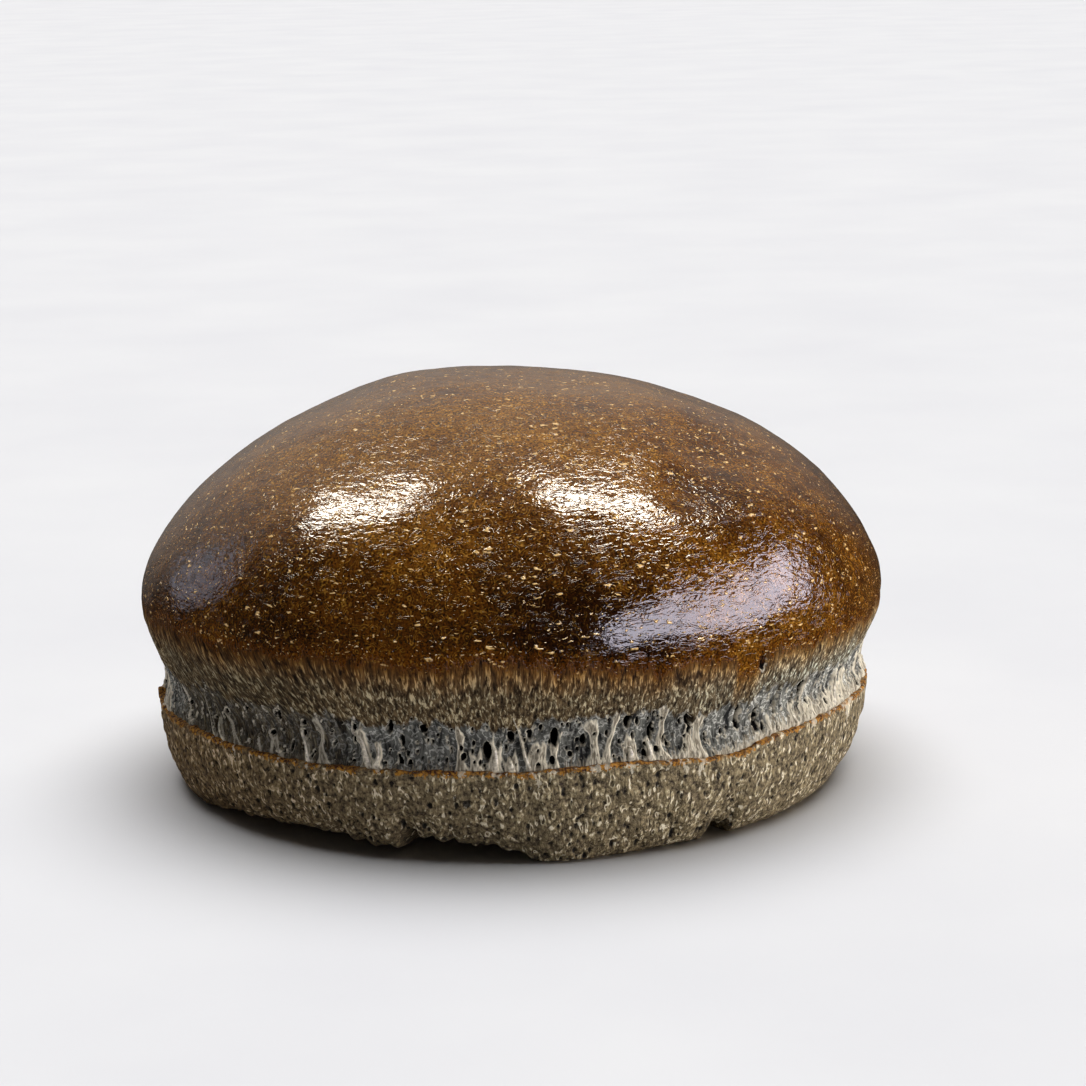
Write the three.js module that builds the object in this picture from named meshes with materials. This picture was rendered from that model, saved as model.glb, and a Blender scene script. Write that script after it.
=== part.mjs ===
// A round bread roll with a dark glossy top crust, in millimetres, +Z up, standing on its underside.
//
// The roll is one solid. Its surface is a stack of rings, from the middle of the underside out to the foot,
// up the rough heel to the rim that the baking mould left, over the torn band where the dough rose last,
// and over the domed crust to the top. Neighbouring rings have as many points as each other, or half as many.
import * as THREE from 'three';

// Driving dimensions
const EQUATOR_RADIUS = 52.5;
const EQUATOR_HEIGHT = 26.9;
const HEIGHT = 56.6;
const RIM_RADIUS = 50.5;
const RIM_HEIGHT = 12.5;
const RIM_THICKNESS = 0.6;
const NECK_RADIUS = 49.4;
const NECK_HEIGHT = 15.2;
const FOOT_RADIUS = 45.7;
const FLAT_RADIUS = 31;

// How full the curves are: the heel's rounding, the bulge above the neck, and the dome
const HEEL_ROUNDING = 1.25;
const BULGE_POWER = 1.6;
const DOME_RISE_POWER = 1.61;
const DOME_REACH_POWER = 2.04;

// The plan isn't quite round: two-fold and three-fold lobes, in mm and degrees
const OVAL = { size: 0.3, azimuth: 72 };
const TRIANGLE = { size: 0.3, azimuth: -57 };

// The foot sits a little to the left, and one toe sticks out in front. Widths round the roll are in degrees
const FOOT_SHIFT = { size: 0.8, azimuth: 180 };
const FOOT_TOE = { size: 1.5, azimuth: -82, width: 9 };

// The rim runs a little higher on the right, and dips once
const RIM_TILT = { size: 0.5, azimuth: -6 };
const RIM_DIP = { size: 0.8, azimuth: -56, width: 6 };
const RIM_WAVE = { size: 0.35, length: 7 };

// Swellings and dents of the dome: azimuth in degrees, rise as a share of the dome's height, width and lift in mm
const SWELLINGS = [
  { azimuth: -120, rise: 0.45, width: 16, lift: 0.9 },
  { azimuth: -72, rise: 0.5, width: 14, lift: 0.7 },
  { azimuth: -95, rise: 0.45, width: 8, lift: -0.6 },
  { azimuth: -35, rise: 0.45, width: 14, lift: 0.8 },
  { azimuth: -40, rise: 0.72, width: 6, lift: -0.9 },
  { azimuth: -52, rise: 0.62, width: 5, lift: -0.6 },
  { azimuth: -33, rise: 0.8, width: 5, lift: -0.4 },
  { azimuth: 159, rise: 0.93, width: 11, lift: 0.6 },
  { azimuth: -7, rise: 0.97, width: 12, lift: -1 },
  { azimuth: 167, rise: 0.86, width: 5, lift: -0.4 },
  { azimuth: 12, rise: 0.84, width: 6.5, lift: -0.8 },
  { azimuth: 4, rise: 0.2, width: 13, lift: 0.2 },
  { azimuth: 32, rise: 0.5, width: 14, lift: 0.6 },
  { azimuth: 58, rise: 0.6, width: 7, lift: -0.7 },
  { azimuth: 95, rise: 0.4, width: 16, lift: 0.7 },
  { azimuth: 140, rise: 0.55, width: 8, lift: -0.6 },
  { azimuth: 178, rise: 0.4, width: 13, lift: 0.15 },
];

// Hollows under the edge, where the base doesn't touch the table: width in degrees to each side, height in mm,
// and how far in they reach in mm
const HOLLOWS = [
  { azimuth: -98.5, width: 10.5, height: 2.5, reach: 11, corner: 10 },
  { azimuth: -130, width: 21, height: 2.1, reach: 9, corner: 4 },
  { azimuth: -55.5, width: 2.6, height: 2.2, reach: 7, corner: 6 },
  { azimuth: -2, width: 9, height: 1, reach: 8, corner: 4 },
  { azimuth: 42, width: 10, height: 2, reach: 10, corner: 6 },
  { azimuth: 88, width: 3, height: 1.8, reach: 6, corner: 6 },
  { azimuth: 128, width: 14, height: 1.4, reach: 9, corner: 4 },
  { azimuth: 172, width: 4, height: 2, reach: 8, corner: 6 },
];

// Relief: crumbs on the heel, torn fibres and open pores in the band, and the skin's slow waves
const CRUMB = { size: 0.65, length: 2.2 };
const FIBRE = { size: 0.6, across: 2.3, along: 9 };
const PORES = { count: 64, least: 1.1, most: 2, depth: 1.2, tallness: 1.9 };
const SKIN_WAVE = { size: 0.5, length: 17 };

// Points in a ring, rings in each stretch of the surface, and the underside's rings by distance in from the foot
const RING = 216;
const EDGE_INSETS = [10, 6];
const FOOT_WIDTH = 2;
const HEEL_RINGS = 7;
const BAND_RINGS = 8;
const LOW_DOME_RINGS = 8;
const HIGH_DOME_RINGS = 7;
const CROWN_RINGS = 3;

const radians = (angle) => (angle * Math.PI) / 180;
const degrees = (angle) => (angle * 180) / Math.PI;
const mix = (a, b, share) => a + (b - a) * share;
const smooth = (share) => {
  const t = Math.min(Math.max(share, 0), 1);
  return t * t * (3 - 2 * t);
};

// The least turn from one azimuth to another, in degrees
function turnBetween(azimuth, other) {
  return Math.abs(((((azimuth - other) % 360) + 540) % 360) - 180);
}

// Smooth value noise from -1 to 1, the same on every run
function hash(i, j, k) {
  let h = Math.imul(i, 374761393) + Math.imul(j, 668265263) + Math.imul(k, 1274126177);
  h = Math.imul(h ^ (h >>> 13), 1274126177);
  return ((h ^ (h >>> 16)) >>> 0) / 2147483648 - 1;
}

function noise(x, y, z) {
  const [i, j, k] = [x, y, z].map(Math.floor);
  const [u, v, w] = [smooth(x - i), smooth(y - j), smooth(z - k)];
  const edge = (b, c) => mix(hash(i, j + b, k + c), hash(i + 1, j + b, k + c), u);
  return mix(mix(edge(0, 0), edge(1, 0), v), mix(edge(0, 1), edge(1, 1), v), w);
}

function noiseAt(point, length) {
  return noise(point.x / length, point.y / length, point.z / length);
}

// The plan's departure from a circle at an azimuth in radians
function lobes(angle) {
  return OVAL.size * Math.cos(2 * (angle - radians(OVAL.azimuth)))
    + TRIANGLE.size * Math.cos(3 * (angle - radians(TRIANGLE.azimuth)));
}

function ringPoint(radius, angle, z) {
  const reach = radius + lobes(angle);
  return new THREE.Vector3(reach * Math.cos(angle), reach * Math.sin(angle), z);
}

// Moves a point straight out from the roll's axis
function pushOut(point, distance) {
  const reach = Math.hypot(point.x, point.y);
  point.x *= 1 + distance / reach;
  point.y *= 1 + distance / reach;
  return point;
}

function footRadius(angle) {
  const turn = turnBetween(degrees(angle), FOOT_TOE.azimuth) / FOOT_TOE.width;
  return FOOT_RADIUS
    + FOOT_SHIFT.size * Math.cos(angle - radians(FOOT_SHIFT.azimuth))
    + FOOT_TOE.size * Math.exp(-turn * turn);
}

// The underside's height at a distance in from the foot: flat in the middle, with hollows towards the edge
function underside(inset, angle) {
  let z = 0;
  for (const hollow of HOLLOWS) {
    const turn = turnBetween(degrees(angle), hollow.azimuth) / hollow.width;
    z = Math.max(z, hollow.height * Math.exp(-(turn ** hollow.corner)) * smooth(1 - inset / hollow.reach));
  }
  return z;
}

function undersidePoint(inset, angle) {
  return ringPoint(footRadius(angle) - inset, angle, underside(inset, angle));
}

function rimHeight(angle) {
  const dip = turnBetween(degrees(angle), RIM_DIP.azimuth) / RIM_DIP.width;
  const around = ringPoint(RIM_RADIUS, angle, 0);
  return RIM_HEIGHT
    + RIM_TILT.size * Math.cos(angle - radians(RIM_TILT.azimuth))
    - RIM_DIP.size * Math.exp(-dip * dip)
    + RIM_WAVE.size * noiseAt(around, RIM_WAVE.length);
}

// The heel: a rounded wall from the foot to the rim, rough with crumbs
function heelPoint(share, angle) {
  const turn = (share * Math.PI) / 2;
  const low = underside(0, angle);
  const z = mix(rimHeight(angle), low, Math.cos(turn) ** HEEL_ROUNDING);
  const radius = mix(footRadius(angle), RIM_RADIUS, Math.sin(turn) ** HEEL_ROUNDING);
  const point = ringPoint(radius, angle, z);
  return pushOut(point, CRUMB.size * noiseAt(point, CRUMB.length) * Math.sin(Math.PI * share));
}

// The rim's thin edge, which stands out from the neck above it
function rimTopPoint(angle) {
  return ringPoint(RIM_RADIUS - 0.1, angle, rimHeight(angle) + RIM_THICKNESS);
}

// Pores of the torn band, as azimuth, share of the band's height, and width
function makePores() {
  const pores = [];
  for (let i = 0; i < PORES.count; i += 1) {
    pores.push({
      azimuth: (360 * (i + 0.4 * hash(i, 1, 0))) / PORES.count,
      share: 0.3 + 0.14 * hash(i, 2, 0),
      width: mix(PORES.least, PORES.most, 0.5 + 0.5 * hash(i, 3, 0)),
    });
  }
  return pores;
}

const pores = makePores();

function poreDepth(point, share, angle, bandHeight) {
  let depth = 0;
  for (const pore of pores) {
    const across = (radians(turnBetween(degrees(angle), pore.azimuth)) * NECK_RADIUS) / pore.width;
    const along = ((share - pore.share) * bandHeight) / (pore.width * PORES.tallness);
    depth = Math.max(depth, PORES.depth * Math.exp(-((across * across + along * along) ** 2)));
  }
  return depth;
}

// The torn band: in at the neck and out again to the equator, with upright fibres and pores
function bandPoint(share, angle) {
  const low = rimHeight(angle) + RIM_THICKNESS;
  const z = mix(low, EQUATOR_HEIGHT, share);
  const neckShare = (NECK_HEIGHT - RIM_HEIGHT) / (EQUATOR_HEIGHT - RIM_HEIGHT);
  const aboveNeck = Math.max(0, (share - neckShare) / (1 - neckShare));
  const radius = share < neckShare
    ? mix(RIM_RADIUS - RIM_THICKNESS, NECK_RADIUS, smooth(share / neckShare))
    : mix(NECK_RADIUS, EQUATOR_RADIUS, Math.sin((aboveNeck * Math.PI) / 2) ** BULGE_POWER);
  const point = ringPoint(radius, angle, z);
  const fibre = noise(point.x / FIBRE.across, point.y / FIBRE.across, z / FIBRE.along);
  const torn = 1 - smooth((share - 0.55) / 0.45);
  return pushOut(point, FIBRE.size * fibre * torn - poreDepth(point, share, angle, EQUATOR_HEIGHT - low));
}

// The dome before its swellings, at a share of its height from the equator to the top
function plainDomePoint(rise, angle) {
  const reach = (1 - rise ** DOME_RISE_POWER) ** (1 / DOME_REACH_POWER);
  return new THREE.Vector3(
    (EQUATOR_RADIUS + lobes(angle)) * reach * Math.cos(angle),
    (EQUATOR_RADIUS + lobes(angle)) * reach * Math.sin(angle),
    mix(EQUATOR_HEIGHT, HEIGHT, rise),
  );
}

const swellings = SWELLINGS.map((s) => ({ ...s, centre: plainDomePoint(s.rise, radians(s.azimuth)) }));
const domeCentre = new THREE.Vector3(0, 0, EQUATOR_HEIGHT / 2);

// The domed crust: swellings, dents and slow waves move its skin in or out
function domePoint(rise, angle) {
  const point = plainDomePoint(rise, angle);
  let lift = SKIN_WAVE.size * noiseAt(point, SKIN_WAVE.length) * smooth(rise / 0.2);
  for (const swelling of swellings) {
    const away = point.distanceTo(swelling.centre) / swelling.width;
    lift += swelling.lift * Math.exp(-away * away);
  }
  return point.addScaledVector(point.clone().sub(domeCentre).normalize(), lift * smooth(rise / 0.1));
}

// A ring of count points, from a function of the azimuth in radians
function makeRing(count, pointAt) {
  return Array.from({ length: count }, (_, i) => pointAt((i * 2 * Math.PI) / count - Math.PI));
}

// Rings of one stretch of the surface, for shares that grow from first to last
function makeRings(rings, count, first, last, pointAt) {
  return Array.from({ length: rings }, (_, i) => {
    const share = rings === 1 ? last : mix(first, last, i / (rings - 1));
    return makeRing(count, (angle) => pointAt(share, angle));
  });
}

// All rings, from the underside to the crown. Shares near the top follow a sine, so that the rings spread evenly
function rollRings() {
  const domeShare = (turn, angle) => domePoint(Math.sin((turn * Math.PI) / 2), angle);
  return [
    makeRing(RING / 4, (angle) => ringPoint(FLAT_RADIUS, angle, 0)),
    ...EDGE_INSETS.map((inset) => makeRing(RING / 2, (angle) => undersidePoint(inset, angle))),
    makeRing(RING, (angle) => undersidePoint(FOOT_WIDTH, angle)),
    ...makeRings(HEEL_RINGS, RING, 0, 1, heelPoint),
    makeRing(RING, rimTopPoint),
    ...makeRings(BAND_RINGS, RING, 0.02, 0.9, bandPoint),
    ...makeRings(LOW_DOME_RINGS, RING / 2, 0, 0.42, domeShare),
    ...makeRings(HIGH_DOME_RINGS, RING / 4, 0.48, 0.86, domeShare),
    ...makeRings(CROWN_RINGS, RING / 8, 0.9, 0.975, domeShare),
  ];
}

// Joins two rings of equal count, or one of twice the other's, with faces that look out
function stitch(faces, low, lowCount, high, highCount) {
  const steps = Math.min(lowCount, highCount);
  for (let i = 0; i < steps; i += 1) {
    const next = (i + 1) % steps;
    if (lowCount === highCount) {
      faces.push(low + i, low + next, high + next, low + i, high + next, high + i);
    } else if (lowCount > highCount) {
      const [a, b, c] = [2 * i, 2 * i + 1, (2 * i + 2) % lowCount].map((n) => low + n);
      faces.push(a, b, high + i, b, high + next, high + i, b, c, high + next);
    } else {
      const [a, b, c] = [2 * i, 2 * i + 1, (2 * i + 2) % highCount].map((n) => high + n);
      faces.push(low + i, b, a, low + i, low + next, b, low + next, c, b);
    }
  }
}

// One closed surface from the rings, with a point in the middle of each end
function closedSurface(rings, bottom, top) {
  const points = [bottom, ...rings.flat(), top];
  const faces = [];
  let start = 1;
  for (let i = 0; i < rings[0].length; i += 1) {
    faces.push(0, start + ((i + 1) % rings[0].length), start + i);
  }
  for (let i = 0; i + 1 < rings.length; i += 1) {
    const next = start + rings[i].length;
    stitch(faces, start, rings[i].length, next, rings[i + 1].length);
    start = next;
  }
  const last = rings[rings.length - 1].length;
  for (let i = 0; i < last; i += 1) {
    faces.push(start + i, start + ((i + 1) % last), points.length - 1);
  }
  const geometry = new THREE.BufferGeometry().setFromPoints(points).setIndex(faces);
  geometry.computeVertexNormals();
  return geometry;
}

// Puts the origin under the middle of the roll's box
function centred(geometry) {
  geometry.computeBoundingBox();
  const middle = geometry.boundingBox.getCenter(new THREE.Vector3());
  return geometry.translate(-middle.x, -middle.y, -geometry.boundingBox.min.z);
}

const crust = new THREE.MeshStandardMaterial({ color: 0x5a3b1b, roughness: 0.32, metalness: 0 });
const rollSurface = closedSurface(rollRings(), new THREE.Vector3(0, 0, 0), domePoint(1, 0));
const roll = new THREE.Mesh(centred(rollSurface), crust);
roll.name = 'roll';

const group = new THREE.Group();
group.add(roll);

export default group;
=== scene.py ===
# %% [markdown]
# # A dark bread roll with a glossy crust
#
# The roll is one piece of bread. Its egg-washed dome is dark and glossy. Below it the dough tore open as it
# rose, so a band of fibres, thin slate-grey skins and open pores runs round the side, and under a thin
# rusty rim the heel is rough and crumbly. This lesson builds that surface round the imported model, which
# gives the size.

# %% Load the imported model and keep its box
import math
from functools import partial

import bpy
import numpy as np
from mathutils import Matrix, Vector
from mathutils.kdtree import KDTree


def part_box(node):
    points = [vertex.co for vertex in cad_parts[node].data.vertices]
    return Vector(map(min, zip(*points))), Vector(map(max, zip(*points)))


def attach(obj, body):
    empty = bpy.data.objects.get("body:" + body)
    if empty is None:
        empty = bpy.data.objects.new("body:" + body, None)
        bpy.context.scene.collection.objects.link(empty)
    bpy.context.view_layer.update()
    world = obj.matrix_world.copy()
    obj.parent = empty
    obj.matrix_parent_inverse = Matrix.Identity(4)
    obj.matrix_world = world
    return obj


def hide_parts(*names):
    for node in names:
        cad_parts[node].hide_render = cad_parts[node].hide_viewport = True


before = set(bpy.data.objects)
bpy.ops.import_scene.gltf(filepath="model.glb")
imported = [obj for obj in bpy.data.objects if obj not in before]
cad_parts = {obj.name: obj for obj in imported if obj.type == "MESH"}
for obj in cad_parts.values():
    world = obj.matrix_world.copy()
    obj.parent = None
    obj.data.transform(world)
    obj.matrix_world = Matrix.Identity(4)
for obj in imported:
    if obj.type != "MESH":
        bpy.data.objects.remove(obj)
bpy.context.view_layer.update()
MM = 0.001
low_corner, high_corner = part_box("roll")
size_mm = [(high - low) / MM for low, high in zip(low_corner, high_corner)]
print("packed roll, mm:", [round(side, 1) for side in size_mm])

# %% [markdown]
# ## The camera
#
# A camera could be placed by eye, but a roll's outline changes with distance. This one was worked out from
# the photograph's outline: a long lens about 43 cm away, looking down by 12 degrees, with the picture
# turned by a degree.

# %% Place the camera
CAMERA_DISTANCE = 430
CAMERA_ELEVATION = 12.175
CAMERA_ROLL = -1.182
CAMERA_AIM = Vector((4.54, 0, 31.82))
CAMERA_LENS = 100.4
SENSOR = 36


def new_object(name, data):
    """Puts a mesh, a lamp or a camera into the scene."""
    made = bpy.data.objects.new(name, data)
    bpy.context.scene.collection.objects.link(made)
    return made


def make_camera():
    """Stands back from the aim point along the line of sight, then turns the picture."""
    tilt = math.radians(CAMERA_ELEVATION)
    data = bpy.data.cameras.new("camera")
    data.lens = CAMERA_LENS
    data.sensor_width = SENSOR
    data.clip_start = 0.01
    data.clip_end = 40
    camera = new_object("camera", data)
    away = Vector((0, -math.cos(tilt), math.sin(tilt))) * CAMERA_DISTANCE
    camera.location = (CAMERA_AIM + away) * MM
    camera.rotation_euler = (math.radians(90 - CAMERA_ELEVATION), 0, 0)
    camera.rotation_euler.rotate_axis("Z", math.radians(CAMERA_ROLL))
    bpy.context.scene.camera = camera
    return camera


camera = make_camera()
print("camera at, mm:", [round(c / MM, 1) for c in camera.location])

# %% [markdown]
# ## Random draws that repeat
#
# Crumb, pores and fibres are random, yet the scene has to come out the same each time. A hash turns three
# whole numbers into one draw, so every place on the roll has its own draw with nothing stored. Smooth noise
# blends the draws at the corners of a grid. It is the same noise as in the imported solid, so both have the
# same slow waves.


# %% Draws and smooth noise
def mix(a, b, share):
    return a + (b - a) * share


def smooth(share):
    t = np.clip(share, 0, 1)
    return t * t * (3 - 2 * t)


def draw(i, j, k):
    """A number from -1 to 1 that is always the same for the same three whole numbers."""
    i, j, k = (np.atleast_1d(n).astype(np.int64).astype(np.uint32) for n in (i, j, k))
    h = i * np.uint32(374761393) + j * np.uint32(668265263) + k * np.uint32(1274126177)
    h = (h ^ (h >> np.uint32(13))) * np.uint32(1274126177)
    return (h ^ (h >> np.uint32(16))) / 2147483648 - 1


def noise(x, y, z):
    """Smooth noise from -1 to 1, one unit from one draw to the next."""
    x, y, z = np.broadcast_arrays(x, y, z)
    i, j, k = np.floor(x), np.floor(y), np.floor(z)
    u, v, w = smooth(x - i), smooth(y - j), smooth(z - k)

    def edge(b, c):
        return mix(draw(i, j + b, k + c), draw(i + 1, j + b, k + c), u)

    return mix(mix(edge(0, 0), edge(1, 0), v), mix(edge(0, 1), edge(1, 1), v), w)


def between(ends, i, j, k):
    """A draw between two ends."""
    return mix(*ends, 0.5 + 0.5 * draw(i, j, k))


def noise_at(points, length):
    return noise(points[..., 0] / length, points[..., 1] / length, points[..., 2] / length)


print("first draws:", np.round(draw([0, 1, 2], 0, 0), 3))


# %% Turns round the roll
def turn_between(azimuth, other):
    """The least turn from one azimuth to another, in degrees."""
    return np.abs((azimuth - other + 540) % 360 - 180)


def near_azimuth(angle, azimuth, width):
    """1 at an azimuth and falling away softly, both in degrees. The angle is in radians."""
    turn = turn_between(np.degrees(angle), azimuth) / width
    return np.exp(-turn * turn)


print("from 170 to -170 degrees is a turn of", turn_between(170, -170))

# %% [markdown]
# ## The roll's form
#
# The form is a stack of rings with a few named sizes in millimetres: foot, heel, rim, neck, equator and
# dome. Swellings and dents are soft bumps at named places, given by azimuth in degrees and by the share of
# the dome's height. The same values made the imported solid, so this surface lies on it, only much finer. Two
# things are this surface's own: the crumb's wave is lower here, because finer relief comes on top, and the
# hollows' roofs are ragged.

# %% Sizes of the form
EQUATOR_RADIUS = 52.5
EQUATOR_HEIGHT = 26.9
HEIGHT = 56.6
RIM_RADIUS = 50.5
RIM_HEIGHT = 12.5
RIM_THICKNESS = 0.6
NECK_RADIUS = 49.4
NECK_HEIGHT = 15.2
FOOT_RADIUS = 45.7
FLAT_RADIUS = 31
BAND_HEIGHT = EQUATOR_HEIGHT - RIM_HEIGHT
HEEL_ROUNDING = 1.25
BULGE_POWER = 1.6
DOME_RISE_POWER = 1.61
DOME_REACH_POWER = 2.04

# Size in mm and azimuth in degrees, then a width in degrees or a length in mm
OVAL = (0.3, 72)
TRIANGLE = (0.3, -57)
FOOT_SHIFT = (0.8, 180)
FOOT_TOE = (1.5, -82, 9)
RIM_TILT = (0.5, -6)
RIM_DIP = (0.8, -56, 6)
RIM_WAVE = (0.35, 7)
CRUMB_WAVE = (0.3, 2.2)
SKIN_WAVE = (0.5, 17)

# Azimuth, share of the dome's height, width in mm, lift in mm
SWELLINGS = [
    (-120, 0.45, 16, 0.9),
    (-72, 0.5, 14, 0.7),
    (-95, 0.45, 8, -0.6),
    (-35, 0.45, 14, 0.8),
    (-40, 0.72, 6, -0.9),
    (-52, 0.62, 5, -0.6),
    (-33, 0.8, 5, -0.4),
    (159, 0.93, 11, 0.6),
    (-7, 0.97, 12, -1),
    (167, 0.86, 5, -0.4),
    (12, 0.84, 6.5, -0.8),
    (4, 0.2, 13, 0.2),
    (32, 0.5, 14, 0.6),
    (58, 0.6, 7, -0.7),
    (95, 0.4, 16, 0.7),
    (140, 0.55, 8, -0.6),
    (178, 0.4, 13, 0.15),
]
print("heel, band and dome, mm:", np.round([RIM_HEIGHT, BAND_HEIGHT, HEIGHT - EQUATOR_HEIGHT], 1))

# %% Hollows under the edge
# Azimuth, half width in degrees, height and reach in mm, squareness, slope for each degree
HOLLOWS = [
    (-98.5, 10.5, 2.5, 11, 10, -0.04),
    (-130, 21, 2.1, 9, 4, 0),
    (-55.5, 2.6, 2.2, 7, 6, 0),
    (-2, 9, 1, 8, 4, 0),
    (42, 10, 2, 10, 6, 0),
    (88, 3, 1.8, 6, 6, 0),
    (128, 14, 1.4, 9, 4, 0),
    (172, 4, 2, 8, 6, 0),
]
print("hollows:", len(HOLLOWS), "and the tallest, mm:", max(hollow[2] for hollow in HOLLOWS))


# %% Plan, foot and rim as functions of the azimuth
def lobes(angle):
    """How far the plan departs from a circle."""
    oval = OVAL[0] * np.cos(2 * (angle - math.radians(OVAL[1])))
    return oval + TRIANGLE[0] * np.cos(3 * (angle - math.radians(TRIANGLE[1])))


def ring_points(radius, angle, z):
    reach = radius + lobes(angle)
    return np.stack(np.broadcast_arrays(reach * np.cos(angle), reach * np.sin(angle), z), -1)


def push_out(points, distance):
    """Moves points straight out from the roll's axis. A point on the axis stays there."""
    reach = np.maximum(np.hypot(points[..., 0], points[..., 1]), 1e-6)
    moved = points.copy()
    moved[..., :2] *= (1 + distance / reach)[..., None]
    return moved


def foot_radius(angle):
    shift = FOOT_SHIFT[0] * np.cos(angle - math.radians(FOOT_SHIFT[1]))
    return FOOT_RADIUS + shift + FOOT_TOE[0] * near_azimuth(angle, *FOOT_TOE[1:])


def underside(inset, angle):
    """The underside's height at a distance in from the foot. The hollows have a ragged roof."""
    z = np.zeros_like(inset + angle)
    for azimuth, width, height, reach, corner, slope in HOLLOWS:
        turn = (np.degrees(angle) - azimuth + 540) % 360 - 180
        roof = height * (1 + slope * turn) * np.exp(-(np.abs(turn / width) ** corner))
        z = np.maximum(z, roof * smooth(1 - inset / reach))
    u = angle * FOOT_RADIUS
    return z * (1 + 0.3 * noise(u / 1.7, inset / 3, 14.5) + 0.2 * noise(u / 0.7, inset / 2, 15.5))


def rim_height(angle):
    wave = RIM_WAVE[0] * noise_at(ring_points(RIM_RADIUS, angle, 0), RIM_WAVE[1])
    tilt = RIM_TILT[0] * np.cos(angle - math.radians(RIM_TILT[1]))
    return RIM_HEIGHT + tilt - RIM_DIP[0] * near_azimuth(angle, *RIM_DIP[1:]) + wave


print("rim at the left and at the right, mm:", np.round(rim_height(np.radians([180, 0])), 2))


# %% Heel, band and dome between them
def heel_points(share, angle):
    """The rounded wall from the foot, share 0, to the rim, share 1."""
    turn = share * math.pi / 2
    z = mix(rim_height(angle), underside(0 * share, angle), np.cos(turn) ** HEEL_ROUNDING)
    radius = mix(foot_radius(angle), RIM_RADIUS, np.sin(turn) ** HEEL_ROUNDING)
    points = ring_points(radius, angle, z)
    crumb = CRUMB_WAVE[0] * noise_at(points, CRUMB_WAVE[1]) * np.sin(math.pi * share)
    return push_out(points, crumb)


def band_points(share, angle):
    """The torn band from the rim, share 0, in to the neck and out to the equator, share 1."""
    low = rim_height(angle) + RIM_THICKNESS
    neck_share = (NECK_HEIGHT - RIM_HEIGHT) / BAND_HEIGHT
    above = np.clip((share - neck_share) / (1 - neck_share), 0, 1)
    below_neck = mix(RIM_RADIUS - RIM_THICKNESS, NECK_RADIUS, smooth(share / neck_share))
    above_neck = mix(NECK_RADIUS, EQUATOR_RADIUS, np.sin(above * math.pi / 2) ** BULGE_POWER)
    radius = np.where(share < neck_share, below_neck, above_neck)
    return ring_points(radius, angle, mix(low, EQUATOR_HEIGHT, share))


def plain_dome_points(rise, angle):
    reach = (1 - rise**DOME_RISE_POWER) ** (1 / DOME_REACH_POWER)
    radius = (EQUATOR_RADIUS + lobes(angle)) * reach
    z = mix(EQUATOR_HEIGHT, HEIGHT, rise)
    return np.stack(np.broadcast_arrays(radius * np.cos(angle), radius * np.sin(angle), z), -1)


DOME_CENTRE = np.array([0, 0, EQUATOR_HEIGHT / 2])


def outward(points):
    away = points - DOME_CENTRE
    return away / np.linalg.norm(away, axis=-1, keepdims=True)


def add_spots(values, points, table):
    """Adds soft bumps at places on the dome: azimuth, share of its height, width in mm, size."""
    for azimuth, rise, width, size in table:
        spot = plain_dome_points(np.array(rise), np.array(math.radians(azimuth)))
        away = np.linalg.norm(points - spot, axis=-1) / width
        values = values + size * np.exp(-away * away)
    return values


def dome_points(rise, angle):
    """The dome with its swellings, dents and slow waves."""
    points = plain_dome_points(rise, angle)
    waves = SKIN_WAVE[0] * noise_at(points, SKIN_WAVE[1]) * smooth(rise / 0.2)
    lift = add_spots(waves, points, SWELLINGS)
    return points + outward(points) * (lift * smooth(rise / 0.1))[..., None]


def azimuths(count):
    return np.arange(count) * 2 * math.pi / count - math.pi


equator = ring_points(EQUATOR_RADIUS, azimuths(216), EQUATOR_HEIGHT)
BOX_SHIFT = -(equator.max(0) + equator.min(0)) / 2 * [1, 1, 0]
print("the packed roll was centred by, mm:", np.round(BOX_SHIFT, 3))

# %% [markdown]
# ## Cells round the roll
#
# Pores, pits and grains are scattered one to a cell of a grid that wraps round the side, each with its own
# place, size and tallness, and some cells empty. What comes back is a distance in mm, 0 at the edge of the
# nearest one and less inside it, so the same call can sink a pore, raise its pale lip or colour it.


# %% Distance to the nearest scattered oval
def oval_gap(angle, v, count, tall, half_width, tallness, share, seed):
    """v is a height in mm; half_width and tallness are (least, most); share is the part of cells in use."""
    pitch = 2 * math.pi * NECK_RADIUS / count
    a = (angle / (2 * math.pi) + 0.5) * count
    b = v / tall
    a, b = np.broadcast_arrays(a, b)
    nearest = np.full(a.shape, 2.0)
    for across in (-1, 0, 1):
        for up in (-1, 0, 1):
            i = np.floor(a) + across
            j = np.floor(b) + up
            cell = i % count
            x = (a - i - 0.5 - 0.42 * draw(cell, j, seed)) * pitch
            y = (b - j - 0.5 - 0.42 * draw(cell, j, seed + 1)) * tall
            width = between(half_width, cell, j, seed + 2)
            height = width * between(tallness, cell, j, seed + 3)
            gap = (np.sqrt((x / width) ** 2 + (y / height) ** 2) - 1) * width
            used = draw(cell, j, seed + 4) < 2 * share - 1
            nearest = np.where(used, np.minimum(nearest, gap), nearest)
    return nearest


def inside(gap, edge=0.2):
    """1 inside an outline, falling to 0 over its edge, for a distance in mm."""
    return smooth(0.5 - gap / edge)


def lip(gap, at=0.15, width=0.14):
    """1 on the lip just outside an outline."""
    return np.exp(-(((gap - at) / width) ** 2))


print("inside an outline, on it and outside:", inside(np.array([-0.2, 0, 0.2])))

# %% [markdown]
# ## Strands of gluten
#
# Where dough tears slowly, gluten draws out into pale strands that stand on the rim and fan out at both
# ends. Each strand has its own azimuth, height, thickness and slant. The same function shapes them twice:
# as low webs in the band's surface, and later as round strands in front of it.

# %% Where the strands run
STRANDS = 190
STRAND_HALF_WIDTH = (0.12, 0.56)
STRAND_HEIGHT = (1.6, 8.5)
STRAND_FOOT = (1, 3.2)
STRAND_SHARE = 0.55
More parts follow.
